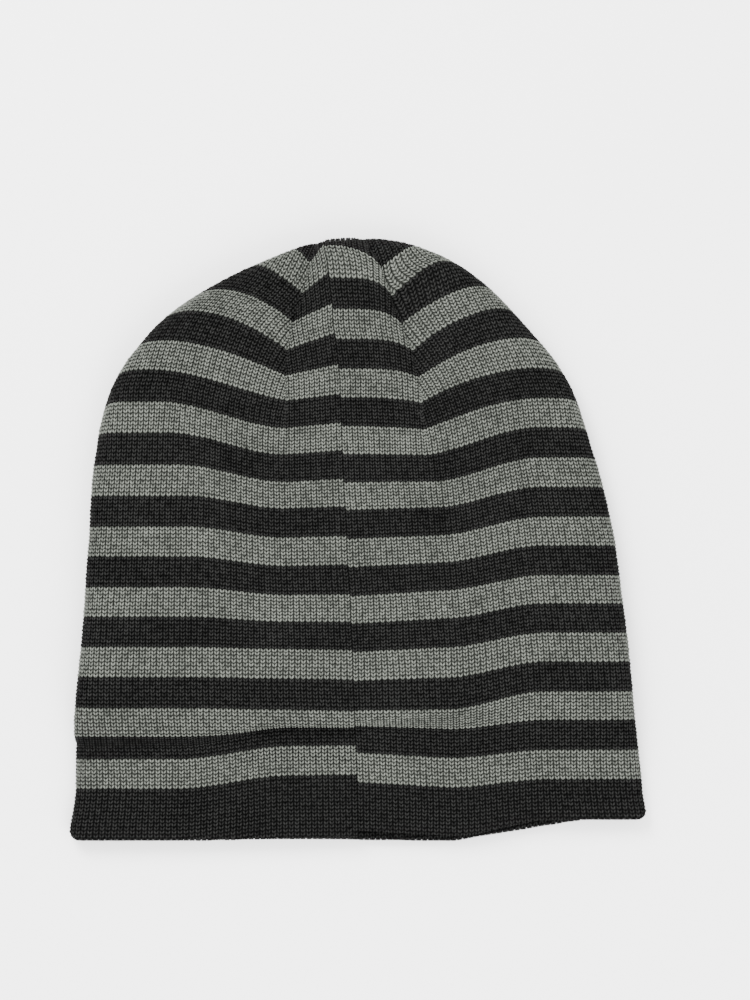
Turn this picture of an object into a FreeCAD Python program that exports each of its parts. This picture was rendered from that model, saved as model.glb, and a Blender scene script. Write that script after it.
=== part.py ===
"""Striped knit beanie, laid flat on its face with the back seam upwards.

The hat is one knitted panel: charcoal and grey bands of yarn, closed by a back seam, shaped at the
crown by six darts and turned in at the brim to make a hem. Each band is a node of its own, because it
is its own length of yarn. The inside holds the hem facing, the seam and dart allowances, the overlock
thread that binds them, the crown tack and the hem tack.

Frame: X across the brim, +Y from the brim to the crown, +Z up from the table. The origin is the middle
of the footprint, on the table. Lengths are in millimetres.
"""

import FreeCAD
import Part
import math
import os

import Sketcher

App = FreeCAD
V = App.Vector

SIZES = [
    # alias, value, meaning
    ("hat_height", 231.0, "brim edge to crown edge, laid flat"),
    ("lay_thickness", 18.0, "both walls and the air between them"),
    ("knit", 1.8, "thickness of the knitted wall"),
    ("crown_radius", 72.0, "outline arc over the crown"),
    ("shoulder_radius", 110.0, "outline arcs at the shoulders"),
    ("side_radius", 1140.0, "long outline arcs down the sides"),
    ("shoulder_offset", 11.3, "shoulder arc centres, across the middle line"),
    ("side_drop", 20.5, "side arc centres, below the brim edge"),
    ("edge_round", 8.9, "roll of the folded sides and the crown edge"),
    ("bands", 22, "bands of yarn, counted from the brim"),
    ("brim_band", 19.3, "height of the charcoal band at the brim"),
    ("stripe", 10.7, "height of every other band"),
    ("stripe_bend", 430.0, "scale of the bend that the darts put in the bands"),
    ("crown_end", 9.0, "radius of the last band, where the darts meet"),
    ("crown_end_inset", 7.0, "its centre, in from the crown edge"),
    ("hem_depth", 41.0, "depth of the turned-in hem"),
    ("facing", 1.6, "thickness of the hem facing"),
    ("gap", 0.1, "air between one layer and the next"),
    ("seam_width", 6.0, "width of a seam allowance"),
    ("seam_depth", 2.2, "thickness of a seam allowance, two plies pressed"),
    ("seam_end", 62.0, "upper end of the back seam allowance, above the middle"),
    ("dart_width", 4.0, "width of a dart allowance"),
    ("dart_length", 38.0, "length of a dart allowance"),
    ("dart_foot_x", 25.5, "foot of a dart, out from the middle line"),
    ("dart_foot_y", 60.0, "foot of a dart, above the middle"),
    ("lean_right", 22.0, "degrees that a dart on +X leans in towards the crown"),
    ("lean_left", 10.0, "degrees that a dart on -X leans in towards the crown"),
    ("thread", 0.3, "radius of the overlock thread"),
    ("stitch_step", 3.0, "distance from one overlock stitch to the next"),
]
YARNS = ("charcoal", "grey")
OPEN_END = 6.0  # how far a hollow runs out past the brim, so that it cuts the brim open

doc = App.newDocument("knit_beanie")


def make_sheet():
    sheet = doc.addObject("Spreadsheet::Sheet", "sizes")
    for row, (alias, value, meaning) in enumerate(SIZES, start=1):
        sheet.set("A%d" % row, meaning)
        sheet.set("B%d" % row, str(value))
        sheet.setAlias("B%d" % row, alias)
    doc.recompute()
    return sheet


sheet = make_sheet()


def size(alias):
    return float(getattr(sheet, alias))


def origin_plane(body, role):
    return next(f for f in body.Origin.OriginFeatures if f.Role == role)


def keep(feature, label):
    """Marks a finished sub-part: its label becomes the file's name."""
    feature.Label = label
    finished.append(feature)
    return feature


finished = []


# ---------------------------------------------------------------- outline and hollow shells


def arc(centre, radius, start, end):
    circle = Part.Circle(centre, V(0, 0, 1), radius)
    return Part.ArcOfCircle(circle, math.radians(start), math.radians(end))


def outline_geometry(inset, extra):
    """The hat's outline as five tangent arcs and the brim line, moved in by inset all round."""
    brim = -size("hat_height") / 2
    crown_r = size("crown_radius") - inset
    shoulder_r = size("shoulder_radius") - inset
    side_r = size("side_radius") - inset
    crown_c = V(0, size("hat_height") / 2 - size("crown_radius"), 0)
    reach = size("shoulder_radius") - size("crown_radius")
    lean = math.asin(size("shoulder_offset") / reach)
    shoulder_y = crown_c.y - reach * math.cos(lean)
    side_reach = size("side_radius") - size("shoulder_radius")
    side_y = brim - size("side_drop")
    tilt = math.acos((shoulder_y - side_y) / side_reach)
    first, second = 90 - math.degrees(lean), 90 - math.degrees(tilt)
    found = [arc(crown_c, crown_r, first, 180 - first)]
    for side in (1, -1):
        shoulder_c = V(-side * size("shoulder_offset"), shoulder_y, 0)
        side_c = V(shoulder_c.x - side * side_reach * math.sin(tilt), side_y, 0)
        foot = math.degrees(math.asin((brim - extra - side_y) / side_r))
        if side > 0:
            found.append(arc(shoulder_c, shoulder_r, second, first))
            found.append(arc(side_c, side_r, foot, second))
            corner = V(side_c.x + side_r * math.cos(math.radians(foot)), brim - extra, 0)
        else:
            found.append(arc(shoulder_c, shoulder_r, 180 - first, 180 - second))
            found.append(arc(side_c, side_r, 180 - second, 180 - foot))
    found.append(Part.LineSegment(corner, V(-corner.x, corner.y, 0)))
    return found


def bind(sketch, constraint, name, expression):
    index = sketch.addConstraint(constraint)
    sketch.renameConstraint(index, name)
    sketch.setExpression("Constraints." + name, expression)


def outline_sketch(body, name, inset_cells, extra):
    """The outline in a sketch, whose radii and centres are bound to the sheet."""
    inset = sum(size(cell) for cell in inset_cells)
    sketch = body.newObject("Sketcher::SketchObject", name + "_outline")
    sketch.AttachmentSupport = [(origin_plane(body, "XY_Plane"), "")]
    sketch.MapMode = "FlatFace"
    crown, shoulder, side, left_shoulder, left_side, brim = range(6)
    sketch.addGeometry(outline_geometry(inset, extra), False)
    start, end, centre = 1, 2, 3
    joints = [
        (crown, start, shoulder, end),
        (shoulder, start, side, end),
        (crown, end, left_shoulder, start),
        (left_shoulder, end, left_side, start),
    ]
    for joint in joints:
        sketch.addConstraint(Sketcher.Constraint("Tangent", *joint))
    sketch.addConstraint(Sketcher.Constraint("Coincident", side, start, brim, start))
    sketch.addConstraint(Sketcher.Constraint("Coincident", left_side, end, brim, end))
    sketch.addConstraint(Sketcher.Constraint("Horizontal", brim))
    less = "".join(" - sizes." + cell for cell in inset_cells)
    radii = [(crown, "crown"), (shoulder, "shoulder"), (side, "side")]
    for edge, word in radii + [(left_shoulder, "shoulder"), (left_side, "side")]:
        value = size(word + "_radius") - inset
        expression = "sizes.%s_radius%s" % (word, less)
        bind(sketch, Sketcher.Constraint("Radius", edge, value), "radius_%d" % edge, expression)
    x_axis_point = (-1, 1)
    sketch.addConstraint(Sketcher.Constraint("PointOnObject", crown, centre, -2))
    crown_y = size("hat_height") / 2 - size("crown_radius")
    bind(sketch, Sketcher.Constraint("DistanceY", *x_axis_point, crown, centre, crown_y),
         "crown_y", "sizes.hat_height / 2 - sizes.crown_radius")
    offset = size("shoulder_offset")
    for edge, sign in ((shoulder, "-"), (left_shoulder, "")):
        value = -offset if sign else offset
        bind(sketch, Sketcher.Constraint("DistanceX", *x_axis_point, edge, centre, value),
             "shoulder_x_%d" % edge, sign + "sizes.shoulder_offset")
    side_y = -size("hat_height") / 2 - size("side_drop")
    for edge in (side, left_side):
        bind(sketch, Sketcher.Constraint("DistanceY", *x_axis_point, edge, centre, side_y),
             "side_y_%d" % edge, "-sizes.hat_height / 2 - sizes.side_drop")
    bind(sketch, Sketcher.Constraint("DistanceY", *x_axis_point, brim, start,
                                     -size("hat_height") / 2 - extra),
         "brim_y", "-sizes.hat_height / 2 - %g" % extra)
    return sketch


def blank(name, inset_cells=(), extra=0.0):
    """A solid of the hat's outline with rolled edges, moved in by the named cells on every side."""
    less = "".join(" - sizes." + cell for cell in inset_cells)
    twice = "".join(" - 2 * sizes." + cell for cell in inset_cells)
    inset = sum(size(cell) for cell in inset_cells)
    body = doc.addObject("PartDesign::Body", name)
    sketch = outline_sketch(body, name, inset_cells, extra)
    pad = body.newObject("PartDesign::Pad", name + "_pad")
    pad.Profile = sketch
    pad.Length = size("lay_thickness") - 2 * inset
    pad.setExpression("Length", "sizes.lay_thickness" + twice)
    doc.recompute()
    brim_y = -size("hat_height") / 2 - extra
    rolled = [
        "Edge%d" % number
        for number, edge in enumerate(pad.Shape.Edges, start=1)
        if abs(edge.Vertexes[0].Z - edge.Vertexes[-1].Z) < 1e-6
        and abs(edge.CenterOfMass.y - brim_y) > 1e-3
    ]
    roll = body.newObject("PartDesign::Fillet", name + "_roll")
    roll.Base = (pad, rolled)
    roll.Radius = size("edge_round") - inset
    roll.setExpression("Radius", "sizes.edge_round" + less)
    body.Tip = roll
    if inset_cells:
        body.setExpression("Placement.Base.z", less.replace(" - ", " + ").lstrip(" +"))
    doc.recompute()
    return body


def boolean(kind, name, base, tool):
    feature = doc.addObject("Part::" + kind, name)
    feature.Base, feature.Tool = base, tool
    return feature


def slab(name, low, high):
    """A block across the whole hat, between two heights that are expressions along Y."""
    block = doc.addObject("Part::Box", name)
    block.setExpression("Length", "2 * sizes.hat_height")
    block.setExpression("Width", "(%s) - (%s)" % (high, low))
    block.setExpression("Height", "3 * sizes.lay_thickness")
    block.setExpression("Placement.Base.x", "-sizes.hat_height")
    block.setExpression("Placement.Base.y", low)
    block.setExpression("Placement.Base.z", "-sizes.lay_thickness")
    return block


outer = blank("outer_blank")
hollow = blank("hollow_blank", ("knit",), OPEN_END)
shell = boolean("Cut", "knit_shell", outer, hollow)


# ---------------------------------------------------------------- bands of yarn


def bend(index):
    return "(sizes.stripe_bend * (sizes.bands - %d) / %d)" % (index, index + 1)


def band_edge(index):
    """A disc that holds all of the hat above band edge number index. Its rim is the edge's curve."""
    disc = doc.addObject("Part::Cylinder", "above_edge_%02d" % index)
    disc.setExpression("Radius", bend(index))
    disc.setExpression("Height", "3 * sizes.lay_thickness")
    height = "-sizes.hat_height / 2 + sizes.brim_band + %d * sizes.stripe + " % index
    disc.setExpression("Placement.Base.y", height + bend(index))
    disc.setExpression("Placement.Base.z", "-sizes.lay_thickness")
    return disc


def crown_end_disc():
    disc = doc.addObject("Part::Cylinder", "crown_end_disc")
    disc.setExpression("Radius", "sizes.crown_end")
    disc.setExpression("Height", "1.5 * sizes.lay_thickness")
    disc.setExpression("Placement.Base.y", "sizes.hat_height / 2 - sizes.crown_end_inset")
    disc.setExpression("Placement.Base.z", "-sizes.lay_thickness")
    return disc


def make_bands():
    count = int(size("bands"))
    edges = [band_edge(index) for index in range(count - 2)]
    end_disc = crown_end_disc()
    fold = brim_fold()
    for number in range(1, count + 1):
        label = "band_%02d_%s" % (number, YARNS[(number + 1) % 2])
        if number == 1:
            wall = boolean("Cut", "band_01_wall", shell, edges[0])
            made = boolean("Fuse", "band_01", wall, fold)
        elif number == count:
            made = boolean("Common", "band_%02d" % number, shell, end_disc)
        else:
            above = boolean("Common", "from_edge_%02d" % number, shell, edges[number - 2])
            upper = end_disc if number == count - 1 else edges[number - 1]
            made = boolean("Cut", "band_%02d" % number, above, upper)
        keep(made, label)


# ---------------------------------------------------------------- hem


def brim_fold():
    """The turn of the knit at the brim, from the outer wall to the facing."""
    core = blank("brim_core_blank", ("knit", "gap", "facing"), OPEN_END)
    ring = boolean("Cut", "brim_ring", outer, core)
    low = "-sizes.hat_height / 2 - %g" % OPEN_END
    high = "-sizes.hat_height / 2 + sizes.knit"
    return boolean("Common", "brim_fold", ring, slab("brim_fold_slab", low, high))


def make_hem():
    outside = blank("facing_outer_blank", ("knit", "gap"), OPEN_END)
    inside = blank("facing_inner_blank", ("knit", "gap", "facing"), 2 * OPEN_END)
    ring = boolean("Cut", "facing_ring", outside, inside)
    low = "-sizes.hat_height / 2 + sizes.knit + sizes.gap"
    high = "-sizes.hat_height / 2 + sizes.hem_depth"
    keep(boolean("Common", "facing", ring, slab("facing_slab", low, high)), "hem_facing")


def make_hem_tack():
    """A bar of thread across the back seam, which holds the facing's upper edge."""
    bar = doc.addObject("Part::Cylinder", "hem_tack_bar")
    bar.setExpression("Radius", "2.5 * sizes.thread")
    bar.setExpression("Height", "1.5 * sizes.seam_width")
    bar.Placement = App.Placement(V(0, 0, 0), App.Rotation(V(0, 1, 0), 90))
    bar.setExpression("Placement.Base.x", "-0.75 * sizes.seam_width")
    bar.setExpression("Placement.Base.y", "-sizes.hat_height / 2 + sizes.hem_depth - 2")
    under = "sizes.lay_thickness - sizes.knit - 2 * sizes.gap - sizes.facing - 2.5 * sizes.thread"
    bar.setExpression("Placement.Base.z", under)
    keep(bar, "hem_tack")


# ---------------------------------------------------------------- seams inside the hat


def allowance(label, width_cell, length, x, y, under_top, lean=None):
    """Two pressed plies of knit on the inner face of a wall, as a bar with a rounded free edge."""
    body = doc.addObject("PartDesign::Body", label + "_body")
    sketch = body.newObject("Sketcher::SketchObject", label + "_section")
    sketch.AttachmentSupport = [(origin_plane(body, "XZ_Plane"), "")]
    sketch.MapMode = "FlatFace"
    half, depth = size(width_cell) / 2, size("seam_depth")
    corners = [V(-half, 0, 0), V(half, 0, 0), V(half, depth, 0), V(-half, depth, 0)]
    for first in range(4):
        sketch.addGeometry(Part.LineSegment(corners[first], corners[(first + 1) % 4]), False)
    for first in range(4):
        joined = Sketcher.Constraint("Coincident", first, 2, (first + 1) % 4, 1)
        sketch.addConstraint(joined)
    for edge, word in ((0, "Horizontal"), (2, "Horizontal"), (1, "Vertical"), (3, "Vertical")):
        sketch.addConstraint(Sketcher.Constraint(word, edge))
    bind(sketch, Sketcher.Constraint("DistanceX", 0, 1, 0, 2, 2 * half), "width",
         "sizes." + width_cell)
    bind(sketch, Sketcher.Constraint("DistanceY", 1, 1, 1, 2, depth), "depth", "sizes.seam_depth")
    bind(sketch, Sketcher.Constraint("DistanceX", -1, 1, 0, 2, half), "middle",
         "sizes.%s / 2" % width_cell)
    sketch.addConstraint(Sketcher.Constraint("PointOnObject", 0, 1, -1))
    pad = body.newObject("PartDesign::Pad", label + "_pad")
    pad.Profile = sketch
    pad.Reversed = True
    pad.setExpression("Length", length)
    doc.recompute()
    free_z = 0.0 if under_top else depth
    free = [
        "Edge%d" % number
        for number, edge in enumerate(pad.Shape.Edges, start=1)
        if abs(edge.CenterOfMass.z - free_z) < 1e-6 and edge.Length > 3 * size(width_cell)
    ]
    rounded = body.newObject("PartDesign::Fillet", label + "_round")
    rounded.Base = (pad, free)
    rounded.Radius = 0.4 * depth
    rounded.setExpression("Radius", "0.4 * sizes.seam_depth")
    body.Tip = rounded
    body.setExpression("Placement.Base.x", x)
    body.setExpression("Placement.Base.y", y)
    if under_top:
        level = "sizes.lay_thickness - sizes.knit - sizes.gap - sizes.seam_depth"
    else:
        level = "sizes.knit + sizes.gap"
    body.setExpression("Placement.Base.z", level)
    if lean:
        body.Placement.Rotation = App.Rotation(V(0, 0, 1), 0)
        body.setExpression("Placement.Rotation.Angle", lean)
    return keep(body, label)


def overlock(label, foot, direction, length, width, level):
    """Bars of thread across an allowance, one for each overlock stitch, as separate solids."""
    across = V(-direction.y, direction.x, 0)
    count = int(length / size("stitch_step"))
    bars = []
    for step in range(count):
        middle = foot + direction * (size("stitch_step") * (step + 0.5))
        start = V(middle.x, middle.y, level) - across * (width / 2)
        bars.append(Part.makeCylinder(size("thread"), width, start, across))
    feature = doc.addObject("Part::Feature", label + "_thread")
    feature.Shape = Part.makeCompound(bars)
    return keep(feature, label)


def thread_level(under_top):
    """Height of the thread's middle, just clear of the allowance's free face."""
    clear = size("seam_depth") + size("thread") + 2 * size("gap")
    if under_top:
        return size("lay_thickness") - size("knit") - clear
    return size("knit") + clear


def make_back_seam():
    foot_y = "-sizes.hat_height / 2 + sizes.hem_depth + sizes.gap"
    length = "sizes.seam_end + sizes.hat_height / 2 - sizes.hem_depth - sizes.gap"
    allowance("back_seam", "seam_width", length, "0", foot_y, True)
    foot = V(0, -size("hat_height") / 2 + size("hem_depth") + size("gap"), 0)
    run = size("seam_end") - foot.y
    overlock("back_seam_overlock", foot, V(0, 1, 0), run, size("seam_width"), thread_level(True))


def make_dart(label, side, under_top):
    """A dart on one wall: side is 1 on +X and -1 on -X."""
    sign, lean_cell = ("", "lean_right") if side > 0 else ("-", "lean_left")
    allowance(label, "dart_width", "sizes.dart_length", sign + "sizes.dart_foot_x",
              "sizes.dart_foot_y", under_top, sign + "sizes." + lean_cell)
    lean = math.radians(side * size(lean_cell))
    direction = V(-math.sin(lean), math.cos(lean), 0)
    foot = V(side * size("dart_foot_x"), size("dart_foot_y"), 0)
    overlock(label + "_overlock", foot, direction, size("dart_length"), size("dart_width"),
             thread_level(under_top))


SIDE_DART_START, SIDE_DART_SWEEP = 12.0, 34.0  # degrees along the shoulder arc


def make_side_dart(label, side):
    """A dart along a folded side: it follows the shoulder arc at half the lay's thickness."""
    reach = size("shoulder_radius") - size("crown_radius")
    shoulder_y = size("hat_height") / 2 - size("crown_radius")
    shoulder_y -= math.sqrt(reach**2 - size("shoulder_offset") ** 2)
    centre = V(-side * size("shoulder_offset"), shoulder_y, 0)
    outside = size("shoulder_radius") - size("knit") - size("gap")
    start = SIDE_DART_START if side > 0 else 180 - SIDE_DART_START - SIDE_DART_SWEEP
    discs = []
    for word, less in (("outside", ""), ("inside", " - sizes.dart_width")):
        disc = doc.addObject("Part::Cylinder", label + "_" + word)
        disc.setExpression("Radius", "sizes.shoulder_radius - sizes.knit - sizes.gap" + less)
        disc.setExpression("Height", "sizes.seam_depth")
        disc.Angle = SIDE_DART_SWEEP
        disc.Placement = App.Placement(centre, App.Rotation(V(0, 0, 1), start))
        disc.setExpression("Placement.Base.z", "(sizes.lay_thickness - sizes.seam_depth) / 2")
        discs.append(disc)
    keep(boolean("Cut", label + "_strip", *discs), label)
    bars = []
    step = math.degrees(size("stitch_step") / outside)
    level = size("lay_thickness") / 2 + size("seam_depth") / 2 + size("thread") + size("gap")
    for stitch in range(int(SIDE_DART_SWEEP / step)):
        turn = math.radians(start + step * (stitch + 0.5))
        outwards = V(math.cos(turn), math.sin(turn), 0)
        foot = centre + outwards * (outside - size("dart_width"))
        foot.z = level
        bars.append(Part.makeCylinder(size("thread"), size("dart_width") - 1, foot, outwards))
    feature = doc.addObject("Part::Feature", label + "_overlock_thread")
    feature.Shape = Part.makeCompound(bars)
    keep(feature, label + "_overlock")


def make_crown_tack():
    """The knot of thread inside the crown end, where the six darts are drawn together."""
    knot = doc.addObject("Part::Ellipsoid", "crown_tack_knot")
    knot.setExpression("Radius1", "7 * sizes.thread")
    knot.setExpression("Radius2", "12 * sizes.thread")
    knot.setExpression("Radius3", "7 * sizes.thread")
    knot.setExpression("Placement.Base.y", "sizes.hat_height / 2 - sizes.knit - 4")
    knot.setExpression("Placement.Base.z", "sizes.lay_thickness / 2")
    keep(knot, "crown_tack")


# ---------------------------------------------------------------- build, test and write

make_bands()
make_hem()
make_hem_tack()
make_back_seam()
for side, word in ((1, "right"), (-1, "left")):
    make_dart("back_dart_" + word, side, True)
    make_dart("front_dart_" + word, side, False)
    make_side_dart("side_dart_" + word, side)
make_crown_tack()
doc.recompute()

for feature in doc.Objects:
    if "Invalid" in feature.State or "Error" in feature.State:
        raise SystemExit("%s failed: %s" % (feature.Name, feature.State))
os.makedirs("parts", exist_ok=True)
for feature in finished:
    shape = feature.Shape
    if shape.isNull() or not shape.isValid() or not shape.Solids:
        raise SystemExit("%s has no valid solid" % feature.Label)
    shape.exportStep(os.path.join("parts", feature.Label + ".step"))
    print("%-28s %2d solid(s) %9.1f mm3" % (feature.Label, len(shape.Solids), shape.Volume))
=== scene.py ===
import math

import bmesh
import bpy
import numpy as np
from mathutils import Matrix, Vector, noise


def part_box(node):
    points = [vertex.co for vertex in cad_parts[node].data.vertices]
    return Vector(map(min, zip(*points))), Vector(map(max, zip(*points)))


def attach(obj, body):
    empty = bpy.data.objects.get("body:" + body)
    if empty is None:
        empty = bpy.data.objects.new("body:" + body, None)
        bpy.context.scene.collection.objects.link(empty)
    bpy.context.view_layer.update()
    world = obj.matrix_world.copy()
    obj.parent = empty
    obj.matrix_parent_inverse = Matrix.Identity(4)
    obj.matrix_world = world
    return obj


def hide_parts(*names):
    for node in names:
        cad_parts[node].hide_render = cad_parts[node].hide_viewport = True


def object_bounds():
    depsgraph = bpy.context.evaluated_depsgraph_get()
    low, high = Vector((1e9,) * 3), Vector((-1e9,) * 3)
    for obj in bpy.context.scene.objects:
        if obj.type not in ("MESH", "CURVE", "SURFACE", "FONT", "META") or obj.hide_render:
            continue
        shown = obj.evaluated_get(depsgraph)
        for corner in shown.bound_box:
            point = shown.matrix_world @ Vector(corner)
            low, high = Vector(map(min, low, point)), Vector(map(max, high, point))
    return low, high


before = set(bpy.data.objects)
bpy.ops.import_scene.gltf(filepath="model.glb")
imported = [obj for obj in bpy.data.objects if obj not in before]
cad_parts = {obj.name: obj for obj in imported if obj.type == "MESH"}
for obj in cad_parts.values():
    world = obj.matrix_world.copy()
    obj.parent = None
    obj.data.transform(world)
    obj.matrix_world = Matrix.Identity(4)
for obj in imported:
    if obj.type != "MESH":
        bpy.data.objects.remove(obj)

# A striped knit beanie, laid flat with its back seam upwards. Every band of yarn is knitted
# stitch by stitch: one stitch is modelled and repeated into a flat panel, and the panel is laid
# on the hat.
#
# Fabric coordinates: u counts wales (columns of stitches) around the hat, from the back seam at 0
# to the folded side at 50, the middle of the front at 100, and round to the other side at 150,
# which is -50 on the back. v counts courses (rows of stitches) up from the brim. w is the height
# above the cloth's middle. Lengths here are millimetres until a mesh is finished.

MM = 0.001
CAD_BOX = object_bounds()
HAT_HEIGHT = (CAD_BOX[1].y - CAD_BOX[0].y) / MM
TOP = HAT_HEIGHT / 2

# ------------------------------------------------------------ sizes of the hat

QUARTER = 50  # wales in a quarter of the hat
STRIPE_ROWS = 8
BRIM_ROWS = 18
BANDS = 22
CROWN_ROWS = 17  # the last charcoal band runs on over the crown's fold
BRIM_FIRST_ROW = -1
FACING_ROWS = 23
FIRST_ROW = BRIM_FIRST_ROW - FACING_ROWS
LAST_ROW = 192

CROWN_R, SHOULDER_R, SIDE_R = 72.0, 110.0, 1140.0  # the outline's arcs, as in the CAD
SHOULDER_X, SIDE_DROP = 11.3, 20.5
BRIM_THICK, BODY_THICK = 8.4, 17.0
LIP = 1.0  # radius of the turn at the brim
COURSE = 1.443  # height of a course near the brim
ON_FLOOR = 0.85  # the cloth's middle where it lies on the floor

# Heights of eight courses where they cross six lines up the back, from one side to the other.
COURSES = (42, 56, 74, 98, 130, 146, 162, 170)
HEIGHTS = {
    "left_side": (-64.2, -43.8, -18.2, 16.3, 64.3, 87.0, 104.3, 114.5),
    "left_dart": (-64.7, -44.3, -21.2, 11.5, 52.5, 71.9, 93.3, 105.5),
    "seam_left": (-65.2, -44.7, -20.9, 12.3, 55.0, 78.1, 101.1, 114.5),
    "seam_right": (-65.0, -45.5, -21.7, 10.9, 53.7, 75.9, 99.1, 112.5),
    "right_dart": (-64.6, -43.8, -19.5, 12.0, 51.7, 71.5, 92.3, 103.4),
    "right_side": (-57.9, -38.2, -13.6, 19.7, 65.0, 88.8, 107.4, 113.8),
}
# The brim is a little wavy: the top of its charcoal band, and its edge on the back and the front.
BRIM_BAND_TOP = {"left_side": -95.7, "left_dart": -90.6, "seam_left": -90.3,
                 "seam_right": -93.2, "right_dart": -95.2, "right_side": -92.0}
BACK_EDGE = {"left_side": -115.4, "left_dart": -114.6, "seam_left": -113.7,
             "seam_right": -111.4, "right_dart": -113.4, "right_side": -107.4}
FRONT_EDGE = {"left_side": -115.4, "left_dart": -115.0, "seam_left": -115.3,
              "seam_right": -115.3, "right_dart": -115.8, "right_side": -109.6}
# Where the cloth tucks over the inner edge of the hem: its course, and how many take it up.
TUCK_COURSE = {"left_side": 32.0, "left_dart": 34.4, "seam_left": 34.7,
               "seam_right": 36.0, "right_dart": 37.0, "right_side": 38.0}
TUCK_ROWS = {"left_side": 7.0, "left_dart": 8.0, "seam_left": 8.0,
             "seam_right": 8.0, "right_dart": 10.0, "right_side": 18.0}

# How far the slack folded sides stand out from the outline's arcs, at heights up the hat.
OUTLINE_Y = (-104, -92, -69, -46, -23, 0, 23, 34, 45, 57, 68, 80, 91, 99, 107, 114)
STAND_OUT = {
    "left": (0, 0.4, 0, -0.8, -1.5, -1.9, -1.5, -1.5, -0.4, 1.5, 1.9, 1.9, 2.3, 1.5, 0, 0),
    "right": (1.1, 1.5, 0.8, 0.8, 1.1, 1.9, 0.8, 0, 0.4, 1.9, 2.7, 2.3, 1.5, -0.4, -1.5, -2.5),
}

# Lines up the back, as distances from the hat's middle line at given courses.
LINE_COURSES = (0, 42, 98, 130, 138, 146, 154, 162, 170, 178, 192)
LINES = {
    "left_side": (-72, -66, -60, -72, -68, -61, -51, -35, -26, -25, -24),
    "left_dart": (-25, -24.3, -23, -20.5, -21, -20.5, -18.5, -17.2, -17.6, -16.8, -15),
    "right_dart": (36, 35.2, 33.8, 30.6, 29.6, 27.3, 22.9, 17.0, 9.6, 3.5, -3),
    "right_side": (73, 73, 75, 76, 72, 67, 58, 37, 21, 15, 9),
}
SEAM_Y = (-116, 60, 77, 89, 100, 111.5, 125)
SEAM_X = (0, 0, -2.0, -4.6, -9.0, -13.0, -14.0)
DART_FOOT = 127  # the course where the darts start
DART_WALE = {"left": -11, "right": 16}
LEAN_FROM = 112  # the course where the side gores' wales start to lean towards the darts
LEAN_COURSES = 20
DART_REACH = 10  # wales from a dart on which the lean is judged
STEEPEST = 1.1
DART_SINK, DART_WIDTH = 3.0, 3.4  # depth and half width of the valley along a dart
DART_FLAP = 1.3  # how fast the cloth past a dart drops out of sight
SEAM_GROOVE, SEAM_GROOVE_WALES = 0.9, 0.45
SEAM_RIDGE, SEAM_RIDGE_WALES = 0.5, 3.0
CLOTH_INSET = 0.6  # the cloth's middle under the outline
CORNER_REACH, CORNER_LIFT = 7, 2.0  # the brim's rounded corners
PRESSED_IN, PRESSED_PAST = 0.45, 0.3  # how much flatter the stitches lie round the brim's turn
HEM_LIFT, HEM_REACH = 1.7, 16  # the front's hem is held up towards the back's
FLARE = 0.018  # how far the brim's ends spread


def smooth(t):
    t = np.clip(t, 0.0, 1.0)
    return t * t * (3 - 2 * t)


def mix(a, b, t):
    return a + (b - a) * t


# ------------------------------------------------------------ outline and rolled edges


def arc_centres():
    """Centres of the outline's arcs on +X, and the angles from +Y at which they meet."""
    crown = (0.0, TOP - CROWN_R)
    lean = math.asin(SHOULDER_X / (SHOULDER_R - CROWN_R))
    shoulder = (-SHOULDER_X, crown[1] - (SHOULDER_R - CROWN_R) * math.cos(lean))
    side_y = -TOP - SIDE_DROP
    tilt = math.acos((shoulder[1] - side_y) / (SIDE_R - SHOULDER_R))
    side = (shoulder[0] - (SIDE_R - SHOULDER_R) * math.sin(tilt), side_y)
    return crown, shoulder, side, lean, tilt


CROWN_C, SHOULDER_C, SIDE_C, CROWN_LEAN, SIDE_TILT = arc_centres()


def roll_radius(y):
    """Half the lay's thickness: thin at the hem, fuller above it."""
    return mix(BRIM_THICK, BODY_THICK, smooth((y + 92) / 40)) / 2


def half_width(y):
    """Half of the cloth across the back at height y, measured over the rolled edge."""
    reach = SIDE_R + (math.pi / 2 - 1) * roll_radius(y)
    return SIDE_C[0] + np.sqrt(reach**2 - (y - SIDE_C[1]) ** 2)


def roll_edges(x, y):
    """Lays flat cloth over the folded edges. Gives the points, their outward normals, and how far
    each lies past the middle of the fold."""
    ax, sign = np.abs(x), np.where(x < 0, -1.0, 1.0)
    from_crown = np.arctan2(ax - CROWN_C[0], y - CROWN_C[1])
    from_shoulder = np.arctan2(ax - SHOULDER_C[0], y - SHOULDER_C[1])
    on_crown = from_crown < CROWN_LEAN
    on_shoulder = ~on_crown & (from_shoulder < SIDE_TILT)
    cx = np.select([on_crown, on_shoulder], [CROWN_C[0], SHOULDER_C[0]], SIDE_C[0])
    cy = np.select([on_crown, on_shoulder], [CROWN_C[1], SHOULDER_C[1]], SIDE_C[1])
    arc = np.select([on_crown, on_shoulder], [CROWN_R, SHOULDER_R], SIDE_R)
    away = np.hypot(ax - cx, y - cy)
    out_x, out_y = (ax - cx) / away, (y - cy) / away
    radius = roll_radius(y)
    over = away - (arc - radius)
    turn = np.clip(over / radius, 0.0, 2.6)
    rolled = np.where(over > 0, arc - radius + radius * np.sin(turn), away)
    point = np.stack([sign * (cx + out_x * rolled), cy + out_y * rolled,
                      radius * (1 + np.cos(turn))], axis=-1)
    normal = np.stack([sign * out_x * np.sin(turn), out_y * np.sin(turn), np.cos(turn)], axis=-1)
    return point, normal, over - radius * math.pi / 2


def lean_shift(y):
    """The hat lies a little askew: its upper half leans to one side."""
    rise = smooth((y + 70) / 135)
    fall = smooth((y - 78) / 34)
    return -6.6 * rise * (1 - fall) - 1.6 * smooth((y + 110) / 60) * (1 - rise)


# ------------------------------------------------------------ courses across the hat


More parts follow.
